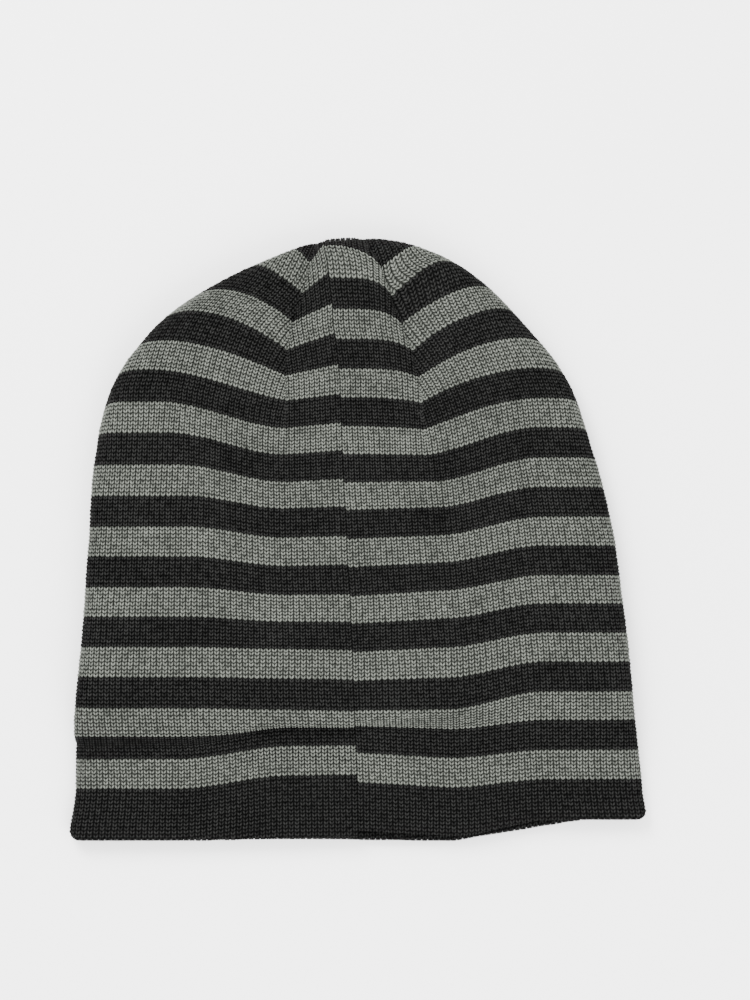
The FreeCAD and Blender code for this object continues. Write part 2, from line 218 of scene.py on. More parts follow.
def course_level(name, v):
    """Height of course v on one of the lines up the hat, above the tuck and below it."""
    heights = HEIGHTS[name]
    upper = np.interp(v, COURSES, heights)
    first = (heights[3] - heights[0]) / (COURSES[3] - COURSES[0])
    last = (heights[-1] - heights[-3]) / (COURSES[-1] - COURSES[-3])
    upper = np.where(v < COURSES[0], heights[0] + first * (v - COURSES[0]), upper)
    upper = np.where(v > COURSES[-1], heights[-1] + last * (v - COURSES[-1]), upper)
    lower = BRIM_BAND_TOP[name] + COURSE * (v - BRIM_ROWS)
    return upper, lower


def line_at(name, v):
    return np.interp(v, LINE_COURSES, LINES[name])


def seam_at(y):
    return np.interp(y, SEAM_Y, SEAM_X)


def seam_line(v):
    return seam_at(course_level("seam_left", v)[0])


def across(gore, v, x):
    """The two lines that a gore lies between, and how far across it x is."""
    if gore == "left":
        lines = ("left_side", "left_dart")
        low, high = line_at("left_side", v), line_at("left_dart", v)
    elif gore == "right":
        lines = ("right_side", "right_dart")
        low, high = line_at("right_side", v), line_at("right_dart", v)
    elif gore == "centre_left":
        lines = ("left_dart", "seam_left")
        low, high = line_at("left_dart", v), seam_line(v)
    else:
        lines = ("seam_right", "right_dart")
        low, high = seam_line(v), line_at("right_dart", v)
    return lines, (x - low) / (high - low)


def share(gore, v, t):
    """How a value passes from a gore's first line (0) to its second (1)."""
    if gore in ("left", "right"):
        sharp = smooth((v - (118 if gore == "left" else 104)) / 28)
        over_fold = smooth((v - 150) / 14) if gore == "left" else smooth((v - 160) / 10)
        bent = mix(np.clip(t, 0, 1.4) ** 2, np.clip(t, -3, 1.4), over_fold)
        return mix(smooth(t), bent, sharp)
    if gore == "centre_left":
        return np.clip(t, -0.3, 1.2)
    steep = 1 + 4 * smooth((v - 110) / 36) - 2.4 * smooth((v - 158) / 12)
    return np.clip(t, 0.0, 1.15) ** steep


def even(values, lines, t):
    return mix(values[lines[0]], values[lines[1]], t)


def course_height(gore, face, v, x):
    """Height of course v at x. Also gives how much cloth the tuck takes up, how many courses v is
    past it, and over how many courses it is spread."""
    lines, t = across(gore, v, x)
    passed = share(gore, v, t)
    levels = [course_level(name, v) for name in lines]
    if face == "front" and gore.startswith("centre"):
        other = {"seam_left": "seam_right", "seam_right": "seam_left"}
        pair = [other.get(name, name) for name in lines]
        twin = [course_level(name, v) for name in pair]
        levels = [tuple((a + b) / 2 for a, b in zip(*both)) for both in zip(levels, twin)]
    upper = mix(levels[0][0], levels[1][0], passed)
    lower = mix(levels[0][1], levels[1][1], passed)
    tuck = even(TUCK_COURSE, lines, passed)
    rows = even(TUCK_ROWS, lines, passed) if face == "back" else 40.0
    past = (v - tuck) / rows
    held = [course_level(name, tuck) for name in lines]
    taken = mix(held[0][1] - held[0][0], held[1][1] - held[1][0], passed)
    height = mix(lower, upper, smooth(past + 0.5))
    return height, np.where(np.abs(v - tuck) < 40, taken, 0.0), v - tuck, rows


def edge_height(gore, face, v, x):
    lines, t = across(gore, v, x)
    values = BACK_EDGE if face == "back" else FRONT_EDGE
    if (gore, face) == ("right", "front"):
        return even(values, lines, np.clip(t, -0.42, 1.0))  # the lower wall peeks out here
    return even(values, lines, share(gore, v, t))


# ------------------------------------------------------------ wales up the hat

STEP = 0.5  # courses between two lattice lines
ROWS = np.arange(FIRST_ROW, LAST_ROW + STEP / 2, STEP)
GORES = {
    "left": (-QUARTER, DART_WALE["left"]),
    "centre_left": (DART_WALE["left"], 0),
    "centre_right": (0, DART_WALE["right"]),
    "right": (DART_WALE["right"], QUARTER),
}
MARGIN = 3  # wales that a gore's lattice runs on past its edges
FAR_INSIDE = -50.0  # stands for "not near a cut edge"


def lay_wales(gore, face):
    """Plan positions of the wales of a gore, course by course, before the edges are rolled."""
    first, last = GORES[gore]
    wales = np.arange(first - MARGIN, last + MARGIN + 1, dtype=float)
    part = wales / QUARTER
    xs, ys = np.zeros((len(wales), len(ROWS))), np.zeros((len(wales), len(ROWS)))
    extra = [np.zeros_like(xs) for _ in range(3)]
    x = part * half_width(np.full(len(wales), -TOP))
    for k, v in enumerate(ROWS):
        if gore.startswith("centre") or v <= LEAN_FROM:
            for _ in range(4):
                y = course_height(gore, face, v, x)[0]
                width = half_width(np.minimum(y, 52.0))
                lean = 1 - 0.2 * np.clip(part, 0, 1) * QUARTER / DART_WALE["right"]
                x = part * width + (seam_at(y) * lean if gore.startswith("centre") else 0)
        else:
            before = course_height(gore, face, v - STEP, x)[0]
            above = course_height(gore, face, v, x)[0]
            near = np.abs(wales - DART_WALE[gore]) <= DART_REACH
            tilt = (course_height(gore, face, v, x + 0.5)[0]
                    - course_height(gore, face, v, x - 0.5)[0])
            slope = np.clip(np.mean(tilt[near]), -STEEPEST, STEEPEST)
            free = smooth((v - LEAN_FROM) / LEAN_COURSES)
            narrowing = part * (half_width(above) - half_width(before))
            lean = slope * np.mean((above - before)[near]) / (1 + slope**2)
            x = x + (1 - free) * narrowing - free * lean
            if v > DART_FOOT:
                seam_wale = wales == DART_WALE[gore]
                inward = 1 if gore == "left" else -1
                short = inward * (line_at(gore + "_dart", v) - x[seam_wale][0])
                x = x + inward * max(short + 0.4, 0.0)
        found = course_height(gore, face, v, x)
        xs[:, k], ys[:, k] = x, found[0]
        for store, value in zip(extra, found[1:]):
            store[:, k] = value
    return wales, xs, ys, extra


def soft_noise(x, y, size, seed):
    """Slow random waves over the plan, from -1 to 1, the same on every run."""
    flat = [noise.noise(Vector((a / size, b / size, seed))) for a, b in zip(x.flat, y.flat)]
    return np.array(flat).reshape(x.shape)


def tuck_relief(taken, past, rows):
    """Height that the cloth gains where it tucks over the inner edge of the hem."""
    rise = np.minimum(4.2, 0.5 * np.maximum(taken, 0))
    step = smooth(past / rows + 0.5) - 0.5
    bulge = 0.10 * np.maximum(taken, 0) * np.exp(-(((past - 7) / 5.5) ** 2))
    return rise * step * np.exp(-((past / 17) ** 2)) + bulge


def lattice(gore, face):
    """Points and normals of a gore on the hat, with how far each lies past the gore's cut edges."""
    wales, x, y, (taken, past, rows) = lay_wales(gore, face)
    v = ROWS[None, :]
    crown = smooth((v - DART_FOOT) / 14)
    beyond = np.full(x.shape, FAR_INSIDE)
    sink = np.zeros(x.shape)
    for side, sign in (("left", 1), ("right", -1)):
        if side not in gore:
            continue
        inner = 1 if gore in ("left", "right") else -1
        line = np.interp(v, LINE_COURSES, LINES[side + "_dart"]) * np.ones_like(x)
        gap = (x - line) * sign * inner  # positive past the dart
        crest = np.clip(gap, None, 0)
        sink = sink - crown * (DART_SINK * np.exp(-np.abs(crest / DART_WIDTH) ** 1.4))
        turned = np.clip(gap, 0, None) * crown
        sink = sink - DART_FLAP * turned
        x = x - 0.85 * turned * sign * inner
        beyond = np.maximum(beyond, np.where(v > DART_FOOT, gap, FAR_INSIDE))
    if gore.startswith("centre"):
        groove = np.exp(-((wales[:, None] / SEAM_GROOVE_WALES) ** 2))
        ridge = np.exp(-((wales[:, None] / SEAM_RIDGE_WALES) ** 2))
        sink = sink - (SEAM_GROOVE if face == "back" else 0.0) * groove
        sink = sink + (SEAM_RIDGE if face == "back" else 0.0) * ridge
    brim = edge_height(gore, face, v, x)
    corner = np.clip((np.abs(x) - half_width(y) + CORNER_REACH) / CORNER_REACH, 0, 1)
    brim = brim + CORNER_LIFT * corner**2
    wrap = np.clip((brim + LIP - y) / LIP, 0, None)
    turn = np.minimum(wrap, math.pi)
    y_laid = np.where(wrap > 0, brim + LIP - LIP * np.sin(turn) + LIP * (wrap - turn), y)
    inward = LIP * (1 - np.cos(turn))
    past = np.where(wrap > math.pi, past + 2 * (y_laid - brim) / COURSE, past)
    sway = 0.35 * soft_noise(x, y, 16.0, 3.1 if face == "back" else 7.7)
    point, normal, over = roll_edges(x + sway, y_laid)
    sink = sink * (1 - 0.8 * smooth((over + 11) / 9))
    relief = sink - inward + 0.45 * soft_noise(x, y, 24.0, 1.3) * smooth((y + 100) / 40)
    if face == "back":
        relief = relief + tuck_relief(taken, past, rows)
    side_seam = crown * np.exp(-((over / 1.3) ** 2)) * smooth((np.abs(x) - 20) / 20)
    relief = relief - 0.6 * side_seam
    beyond = np.maximum(beyond, np.where(v > DART_FOOT, over, FAR_INSIDE))
    point = point + normal * (relief - CLOTH_INSET)[..., None]
    if face == "front":
        thick = 2 * roll_radius(y_laid)
        close = smooth((brim + HEM_REACH - y_laid) / HEM_REACH) * smooth(-(over + 4) / 22)
        point[..., 2] = thick - point[..., 2] + HEM_LIFT * close
        point[..., 2] = np.maximum(point[..., 2], ON_FLOOR)
    flare = np.clip(np.abs(point[..., 0]) / 100, 0, 1.1) ** 3
    point[..., 0] *= 1 + FLARE * flare * smooth((-94 - point[..., 1]) / 20)
    weight = (np.abs(x) / np.maximum(half_width(np.minimum(y, 100)), 30)) ** 3
    for side, sign in (("left", -1), ("right", 1)):
        out_by = np.interp(point[..., 1], OUTLINE_Y, STAND_OUT[side])
        point[..., 0] += np.where(x * sign > 0, sign * out_by * np.clip(weight, 0, 1), 0)
    point[..., 0] += lean_shift(point[..., 1])
    along_u = np.gradient(point, axis=0)
    along_v = np.gradient(point, axis=1)
    out = np.cross(along_u, along_v)
    if face == "front":
        out = -out
    out /= np.maximum(np.linalg.norm(out, axis=-1, keepdims=True), 1e-9)
    out *= (1 - PRESSED_IN * np.sin(turn) - PRESSED_PAST * (wrap > math.pi))[..., None]
    return wales[0], point, out, beyond


LATTICES = {(gore, face): lattice(gore, face) for gore in GORES for face in ("back", "front")}


def on_hat(u, v, w, gore, face):
    """Points of the cloth at fabric coordinates, by looking them up in a gore's lattice."""
    first, point, out, beyond = LATTICES[gore, face]
    iu = np.clip(u - first, 0, point.shape[0] - 1.001)
    iv = np.clip((v - FIRST_ROW) / STEP, 0, point.shape[1] - 1.001)
    a, b = iu.astype(int), iv.astype(int)
    fa, fb = iu - a, iv - b

    def look(field):
        if field.ndim == 3:
            ga, gb = fa[:, None], fb[:, None]
        else:
            ga, gb = fa, fb
        low = mix(field[a, b], field[a + 1, b], ga)
        high = mix(field[a, b + 1], field[a + 1, b + 1], ga)
        return mix(low, high, gb)

    return look(point) + look(out) * w[:, None], look(beyond)


def gore_of(u):
    """Names a wale's gore and face. Past the folded side, the front is the back's mirror."""
    face = "back" if u < QUARTER else "front"
    if face == "front":
        u = 2 * QUARTER - u
    for gore, (first, last) in GORES.items():
        if first <= u <= last:
            return gore, face
    return "left", face


def lay_on_hat(u, v, w, wale):
    """Lays fabric points on the hat. wale says which column each belongs to, so that no stitch is
    torn between two gores."""
    placed = np.zeros((len(u), 3))
    beyond = np.zeros(len(u))
    columns = np.unique(wale)
    homes = {}
    for column in columns:
        homes.setdefault(gore_of(column + 0.5), []).append(column)
    for (gore, face), members in homes.items():
        mine = np.isin(wale, members)
        along = u[mine] if face == "back" else 2 * QUARTER - u[mine]
        placed[mine], beyond[mine] = on_hat(along, v[mine], w[mine], gore, face)
    return placed, beyond


# ------------------------------------------------------------ mesh helpers


def new_piece(name, bm, materials, nodes):
    """Makes the object, at the origin, attaches it to the root body and hides the nodes it stands
    for.
    """
    mesh = bpy.data.meshes.new(name)
    bm.to_mesh(mesh)
    bm.free()
    for material in materials:
        mesh.materials.append(material)
    piece = bpy.data.objects.new(name, mesh)
    bpy.context.collection.objects.link(piece)
    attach(piece, "root")
    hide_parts(*nodes)
    return piece


def get_points(mesh):
    flat = np.empty(len(mesh.vertices) * 3)
    mesh.vertices.foreach_get("co", flat)
    return flat.reshape(-1, 3)


def set_points(mesh, points):
    mesh.vertices.foreach_set("co", np.ascontiguousarray(points, dtype=np.float32).ravel())


# A leg's place and size, in wales across and courses along, and in millimetres of depth.
LEG_APART, LEG_SLANT, LEG_HALF = 0.205, 0.185, 0.215
LEG_REACH, LEG_DEPTH = 0.72, 0.42


def make_stitch(lift, sides, rings):
    """One stitch in a cell one wale wide and one course high: two legs of yarn that meet at its
    foot. lift is how far a leg's middle rises off the cloth."""
    bm = bmesh.new()
    for side in (-1, 1):
        leg = bmesh.ops.create_uvsphere(bm, u_segments=sides, v_segments=rings, radius=1.0,
                                        calc_uvs=True)["verts"]
        for vert in leg:
            x, z, along = vert.co
            arch = 1 - along * along
            vert.co = (0.5 + side * (LEG_APART + LEG_SLANT * along) + LEG_HALF * x,
                       0.5 + LEG_REACH * along,
                       -LEG_DEPTH * z + lift * (arch - 0.35) + 0.1 * along)
    bmesh.ops.recalc_face_normals(bm, faces=bm.faces)
    for face in bm.faces:
        face.smooth = True
    mesh = bpy.data.meshes.new("stitch")
    bm.to_mesh(mesh)
    bm.free()
    return mesh


# How far past a dart's line a stitch and the cloth under it run on before they are cut.
STITCH_PAST, BACKING_PAST = 0.7, 1.6
BACKING_TOP, BACKING_FOOT = -0.3, -0.8  # the cloth's body, as heights w
YARN_LOW, YARN_DEPTH = 0.45, 1.2  # the yarn's lowest side under the cloth's middle, and its depth
PLUMP, SHIFT = 0.08, 0.02  # how much stitches differ in fullness and place

STITCH = make_stitch(0.55, 4, 4)
HIDDEN_STITCH = make_stitch(0.42, 3, 3)  # for the inside of the hem


def knit_panel(stitch, first_row, rows):
    """A flat panel of stitches, once around the hat. Gives its mesh in fabric coordinates."""
    swatch = bpy.data.objects.new("swatch", stitch)
    bpy.context.collection.objects.link(swatch)
    for count, offset in ((4 * QUARTER, (1, 0, 0)), (rows, (0, 1, 0))):
        repeat = swatch.modifiers.new("repeat", "ARRAY")
        repeat.count = count
        repeat.use_relative_offset = False
        repeat.use_constant_offset = True
        repeat.constant_offset_displace = offset
    graph = bpy.context.evaluated_depsgraph_get()
    mesh = bpy.data.meshes.new_from_object(swatch.evaluated_get(graph))
    bpy.data.objects.remove(swatch)
    points = get_points(mesh)
    points[:, 0] -= QUARTER
    points[:, 1] += first_row
    return mesh, points


def knit_band(first_row, rows, seed, cut=None, stitch=STITCH):
    """A band of stitches laid on the hat, without the stitches that the darts cut away."""
    mesh, points = knit_panel(stitch, first_row, rows)
    per_stitch = len(stitch.vertices)
    cell = np.arange(len(points)) // per_stitch
    wale = cell % (4 * QUARTER) - QUARTER
    rng = np.random.default_rng(seed)
    count = cell.max() + 1
    plump = 1 + PLUMP * rng.standard_normal(count)
    shift = SHIFT * rng.standard_normal((count, 2))
    u = points[:, 0] + shift[cell, 0]
    v = points[:, 1] + shift[cell, 1]
    placed, beyond = lay_on_hat(u, v, points[:, 2] * plump[cell], wale)
    middle = np.zeros(count)
    np.add.at(middle, cell, beyond / per_stitch)
    doomed = middle > STITCH_PAST
    if cut is not None:
        centre = np.zeros((count, 3))
        np.add.at(centre, cell, placed / per_stitch)
        doomed |= cut(centre)
    set_points(mesh, placed * MM)
    # Each point's height within the yarn, from which the yarn materials paint the gaps darker and
    # the tops lighter: painted shade and painted highlight.
    height = mesh.attributes.new("yarn_height", "FLOAT", "POINT")
    height.data.foreach_set("value", np.clip(points[:, 2] + YARN_LOW, 0, YARN_DEPTH) / YARN_DEPTH)
    bm = bmesh.new()
    bm.from_mesh(mesh)
    bpy.data.meshes.remove(mesh)
    gone = doomed[cell]
    bmesh.ops.delete(bm, geom=[vert for vert in bm.verts if gone[vert.index]], context="VERTS")
    return bm


def backing(bm, first_row, rows, faces=("back", "front"), cut=None):
    """The body of the cloth under the stitches: a thin closed wall, gore by gore. Its darkened
    material shows in the holes between stitches as painted shade.
    """
    for face in faces:
        for gore, (first, last) in GORES.items():
            wales = last - first
            sheet = bmesh.new()
            bmesh.ops.create_grid(sheet, x_segments=wales, y_segments=max(2, rows), size=0.5)
            place = sheet.verts.layers.int.new("place")
            sheet.verts.ensure_lookup_table()
            for index, vert in enumerate(sheet.verts):
                vert[place] = index
            u = np.array([first + (vert.co.x + 0.5) * wales for vert in sheet.verts])
            v = np.array([first_row + (vert.co.y + 0.5) * rows for vert in sheet.verts])
            upper, beyond = on_hat(u, v, np.full(len(u), BACKING_TOP), gore, face)
            lower = on_hat(u, v, np.full(len(u), BACKING_FOOT), gore, face)[0]
            gone = beyond > BACKING_PAST
            if cut is not None:
                gone |= cut(upper)
            doomed = [f for f in sheet.faces if all(gone[vert[place]] for vert in f.verts)]
            bmesh.ops.delete(sheet, geom=doomed, context="FACES")
            lifted = bmesh.ops.extrude_face_region(sheet, geom=sheet.faces[:],
                                                   use_keep_orig=True)["geom"]
            top = {item for item in lifted if isinstance(item, bmesh.types.BMVert)}
            for vert in sheet.verts:
                vert.co = Vector((upper if vert in top else lower)[vert[place]]) * MM
            bmesh.ops.recalc_face_normals(sheet, faces=sheet.faces)
            for f in sheet.faces:
                f.smooth = True
                f.material_index = 1  # the darkened cloth material, painted shade, after the yarn's
            made = bpy.data.meshes.new("backing")
            sheet.to_mesh(made)
            sheet.free()
            bm.from_mesh(made)
            bpy.data.meshes.remove(made)


# ------------------------------------------------------------ materials


def new_material(name):
    material = bpy.data.materials.new(name)
    material.use_nodes = True
    nodes, links = material.node_tree.nodes, material.node_tree.links
    return material, nodes, links, nodes["Principled BSDF"]


def texture(nodes, links, kind, vector, **settings):
    """A texture node with its sockets set, reading the given coordinates."""
    made = nodes.new(kind)
    for socket, value in settings.items():
        made.inputs[socket].default_value = value
    links.new(vector, made.inputs["Vector"])
    return made


def scaled_sum(nodes, links, source, factor, added):
    """source times factor, plus added: a number or another node's output."""
    made = nodes.new("ShaderNodeMath")
    made.operation = "MULTIPLY_ADD"
    made.inputs[1].default_value = factor
    for slot, value in ((0, source), (2, added)):
        if isinstance(value, float):
            made.inputs[slot].default_value = value
        else:
            links.new(value, made.inputs[slot])
    return made.outputs[0]


def yarn_material(name, colour, light, rough, bump_mm=0.12, sheen=0.35, gloss=0.06,
                  lit_by_height=True):
    """Soft spun yarn: fibres mottle its colour, its high sides are painted lighter than the gaps
    between (a painted highlight on the tops and painted shade in the gaps), and its twist shows as
    fine slanting ridges."""
    material, nodes, links, shader = new_material(name)
    shader.inputs["Roughness"].default_value = rough
    shader.inputs["Sheen Weight"].default_value = sheen
    shader.inputs["Sheen Roughness"].default_value = 0.45
    shader.inputs["Sheen Tint"].default_value = (*light, 1)
    shader.inputs["Specular IOR Level"].default_value = gloss
    place = nodes.new("ShaderNodeTexCoord")
    mottle = texture(nodes, links, "ShaderNodeTexNoise", place.outputs["Object"],
                     Scale=620, Detail=3)
    drift = texture(nodes, links, "ShaderNodeTexNoise", place.outputs["Object"],
                    Scale=45, Detail=2)
    fleck = scaled_sum(nodes, links, mottle.outputs["Fac"], 0.5, 0.365)
    both = scaled_sum(nodes, links, drift.outputs["Fac"], 0.12, fleck)
    # Painted light: the ramp runs from colour, painted shade in the gaps, to light, a painted
    # highlight on the yarn's tops, following the yarn's height.
    height = 0.75
    if lit_by_height:
        attribute = nodes.new("ShaderNodeAttribute")
        attribute.attribute_name = "yarn_height"
        height = attribute.outputs["Fac"]
    painted_light_level = scaled_sum(nodes, links, height, 0.7, both)
    ramp = nodes.new("ShaderNodeValToRGB")
    ramp.color_ramp.elements[0].position = 0.67
    ramp.color_ramp.elements[0].color = (*colour, 1)
    ramp.color_ramp.elements[1].position = 0.98
    ramp.color_ramp.interpolation = "EASE"
    ramp.color_ramp.elements[1].color = (*light, 1)
    low_high = nodes.new("ShaderNodeMath")
    low_high.operation = "MULTIPLY"
    low_high.inputs[1].default_value = 0.68
    links.new(painted_light_level, low_high.inputs[0])
    links.new(low_high.outputs[0], ramp.inputs["Fac"])
    links.new(ramp.outputs["Color"], shader.inputs["Base Color"])
    twist = texture(nodes, links, "ShaderNodeTexWave", place.outputs["UV"],
                    Scale=2.4, Distortion=1.2, Detail=2)
    twist.wave_type = "BANDS"
    twist.bands_direction = "DIAGONAL"
    bump = nodes.new("ShaderNodeBump")
    bump.inputs["Strength"].default_value = 0.5
    bump.inputs["Distance"].default_value = bump_mm * MM
    links.new(twist.outputs["Fac"], bump.inputs["Height"])
    links.new(bump.outputs["Normal"], shader.inputs["Normal"])
    return material


def painted_shade_cloth_material(name, colour, light):
    """The cloth's body and its purl side, in colours far darker than the yarn's: painted shade for
    the holes between stitches. Small rounded bumps, as purl loops show, each painted lighter at its
    middle than at its edges.
    """
    material, nodes, links, shader = new_material(name)
    shader.inputs["Roughness"].default_value = 0.95
    shader.inputs["Specular IOR Level"].default_value = 0.1
    place = nodes.new("ShaderNodeTexCoord")
    cells = texture(nodes, links, "ShaderNodeTexVoronoi", place.outputs["Object"], Scale=700)
    ramp = nodes.new("ShaderNodeValToRGB")
    ramp.color_ramp.elements[0].color = (*light, 1)
    ramp.color_ramp.elements[1].position = 0.8
    ramp.color_ramp.elements[1].color = (*colour, 1)
    links.new(cells.outputs["Distance"], ramp.inputs["Fac"])
    links.new(ramp.outputs["Color"], shader.inputs["Base Color"])
    bump = nodes.new("ShaderNodeBump")
    bump.invert = True
    bump.inputs["Strength"].default_value = 0.6
    bump.inputs["Distance"].default_value = 0.3 * MM
    links.new(cells.outputs["Distance"], bump.inputs["Height"])
    links.new(bump.outputs["Normal"], shader.inputs["Normal"])
    return material


# Each yarn's colours run from painted shade in the gaps between stitches to a painted highlight on
# the yarn's tops.
CHARCOAL = yarn_material("charcoal_yarn", (0.0004, 0.0004, 0.0004), (0.0170, 0.0171, 0.0165),
                         0.85, gloss=0.02)
GREY = yarn_material("grey_yarn", (0.011, 0.0122, 0.0107), (0.120, 0.127, 0.112), 0.9)
# The cloth's colours are far darker than the yarn's: painted shade for the holes between stitches
# and for the seam allowances.
CHARCOAL_CLOTH_PAINTED_SHADE = painted_shade_cloth_material("charcoal_cloth_painted_shade", (0.0006, 0.0006, 0.0006),
                                (0.002, 0.002, 0.002))
GREY_CLOTH_PAINTED_SHADE = painted_shade_cloth_material("grey_cloth_painted_shade", (0.012, 0.013, 0.011), (0.028, 0.030, 0.026))
THREAD = yarn_material("sewing_thread", (0.006, 0.006, 0.006), (0.034, 0.034, 0.034), 0.6,
                       bump_mm=0.05, sheen=0.1, lit_by_height=False)

# ------------------------------------------------------------ the bands


def band_rows(number):
    if number == 1:
        return BRIM_FIRST_ROW, BRIM_ROWS - BRIM_FIRST_ROW
    first = BRIM_ROWS + STRIPE_ROWS * (number - 2)
    return first, STRIPE_ROWS if number < BANDS - 1 else CROWN_ROWS


def past_crown_end(points):
    """Which points lie outside the grey end of the tube, under the crown's fold."""
    low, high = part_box("band_%02d_grey" % BANDS)
    middle, reach = (low + high) / 2 / MM, (high.x - low.x) / 2 / MM
    off = np.hypot(points[:, 0] - middle.x, points[:, 1] - middle.y)
    return (off > reach) | (points[:, 2] > BODY_THICK / 2)


def make_bands():
    for number in range(1, BANDS):
        yarn = "charcoal" if number % 2 else "grey"
        node = "band_%02d_%s" % (number, yarn)
        first, rows = band_rows(number)
        cut = (lambda points: ~past_crown_end(points)) if number == BANDS - 1 else None
        bm = knit_band(first, rows, number, cut)
        backing(bm, first, rows, cut=cut)
        # The second material, the darkened cloth, is painted shade in the holes between stitches.
        materials = (CHARCOAL, CHARCOAL_CLOTH_PAINTED_SHADE) if number % 2 else (GREY, GREY_CLOTH_PAINTED_SHADE)
        new_piece("knit_" + node, bm, materials, [node])


def make_crown_end():
    """The tube's last grey courses, drawn together under the crown."""
    node = "band_%02d_grey" % BANDS
    first, rows = band_rows(BANDS - 1)
    bm = knit_band(first, rows, BANDS, past_crown_end)
    backing(bm, first, rows, faces=("front",), cut=past_crown_end)
    new_piece("knit_" + node, bm, (GREY, GREY_CLOTH_PAINTED_SHADE), [node])


FACING_SEED = 31


def make_facing():
    """The panel's turned-in end, on the inside of the hem."""
    bm = knit_band(FIRST_ROW, FACING_ROWS, FACING_SEED, stitch=HIDDEN_STITCH)
    backing(bm, FIRST_ROW, FACING_ROWS)
    new_piece("knit_hem_facing", bm, (CHARCOAL, CHARCOAL_CLOTH_PAINTED_SHADE), ["hem_facing"])


# ------------------------------------------------------------ seams inside the hat

SEAM_COURSES, DART_COURSES = (42, 168), (DART_FOOT + 3, 160)
PATH_COURSES = 2.0  # courses between two points of a seam's path
SEAM_WIDTH, DART_ALLOWANCE = 6.0, 4.0
ALLOWANCE_DEPTH, ALLOWANCE_START = 1.9, 1.5  # two plies, and how far in from the cloth's middle
THREAD_REACH = 0.2  # the overlock is this much wider than the allowance it binds
THREAD_LEVEL, THREAD_R, OVERLOCK_STEP = 3.6, 0.22, 3.0


def seam_path(gore, face, edge, first_row, last_row):
    """Points and inward directions along a line of the hat: the seam, a dart or a folded side."""
    first, _, _, beyond = LATTICES[gore, face]
    rows = np.arange(first_row, last_row + 0.1, PATH_COURSES)
    found = []
    for v in rows:
        k = int(round((v - FIRST_ROW) / STEP))
        if edge == "seam":
            u = 0.0
        else:
            past = beyond[:, k]
            order = range(len(past)) if edge == "high" else range(len(past) - 1, -1, -1)
            inside = [a for a in order if past[a] < 0]
            if not inside:
                break
            a = inside[-1]
            u = float(a + first)
        found.append((u, v))
    u, v = np.array(found).T
    if edge != "seam":
        u = np.polyval(np.polyfit(v, u, 3), v)
    level = on_hat(u, v, np.zeros(len(u)), gore, face)[0]
    lift = on_hat(u, v, np.ones(len(u)), gore, face)[0]
    return level, level - lift


def steadied(values, reach):
    """The values along a path, each taken as the mean of its neighbours."""
    padded = np.pad(values, ((reach, reach), (0, 0)), "edge")
    return np.stack([np.convolve(padded[:, k], np.ones(2 * reach + 1) / (2 * reach + 1), "valid")
                     for k in range(3)], -1)


def even_path(points, inward, step):
    """The path again, at even distances along it: its points, the directions into the hat and the
    directions across the path."""
    points, inward = steadied(points, 2), steadied(inward, 5)
    lengths = np.concatenate([[0], np.cumsum(np.linalg.norm(np.diff(points, axis=0), axis=1))])
    marks = np.arange(0, lengths[-1], step)
    pick = [np.interp(marks, lengths, points[:, k]) for k in range(3)]
    turn = [np.interp(marks, lengths, inward[:, k]) for k in range(3)]
    points, inward = np.stack(pick, -1), np.stack(turn, -1)
    along = np.gradient(points, axis=0)
    along /= np.linalg.norm(along, axis=1, keepdims=True)
    inward -= along * np.sum(along * inward, axis=1, keepdims=True)
    inward /= np.linalg.norm(inward, axis=1, keepdims=True)
    return points, inward, np.cross(along, inward)


def seam_allowance(name, node, path, width):
    """Two pressed plies of cloth along a seam, as one soft bar with rounded edges."""
    points, inward, side = even_path(*path, 1.0)
    bm = bmesh.new()
    ring = bmesh.ops.create_circle(bm, cap_ends=True, segments=12, radius=1.0)["verts"]
    spin = [math.atan2(vert.co.y, vert.co.x) for vert in ring]
    depth, start = ALLOWANCE_DEPTH, ALLOWANCE_START

    def squared(wave):
        return math.copysign(abs(wave) ** 0.5, wave)

    section = [(squared(math.cos(a)) * width / 2,
                start + depth / 2 + squared(math.sin(a)) * depth / 2) for a in spin]

    def place(verts, index):
        for vert, (a, b) in zip(verts, section):
            wave = 1 + 0.06 * math.sin(1.9 * index)
            spot = points[index] + side[index] * a * wave + inward[index] * b
            vert.co = Vector(spot) * MM

    place(ring, 0)
    ahead = list(bm.faces)
    for index in range(1, len(points)):
        grown = bmesh.ops.extrude_face_region(bm, geom=ahead)["geom"]
        made = [item for item in grown if isinstance(item, bmesh.types.BMVert)]
        ahead = [item for item in grown if isinstance(item, bmesh.types.BMFace)]
        place(made, index)
    bmesh.ops.recalc_face_normals(bm, faces=bm.faces)
    for face in bm.faces:
        face.smooth = True
    # The allowance takes the darkened cloth material: painted shade.
    return new_piece(name, bm, (CHARCOAL_CLOTH_PAINTED_SHADE,), [node])


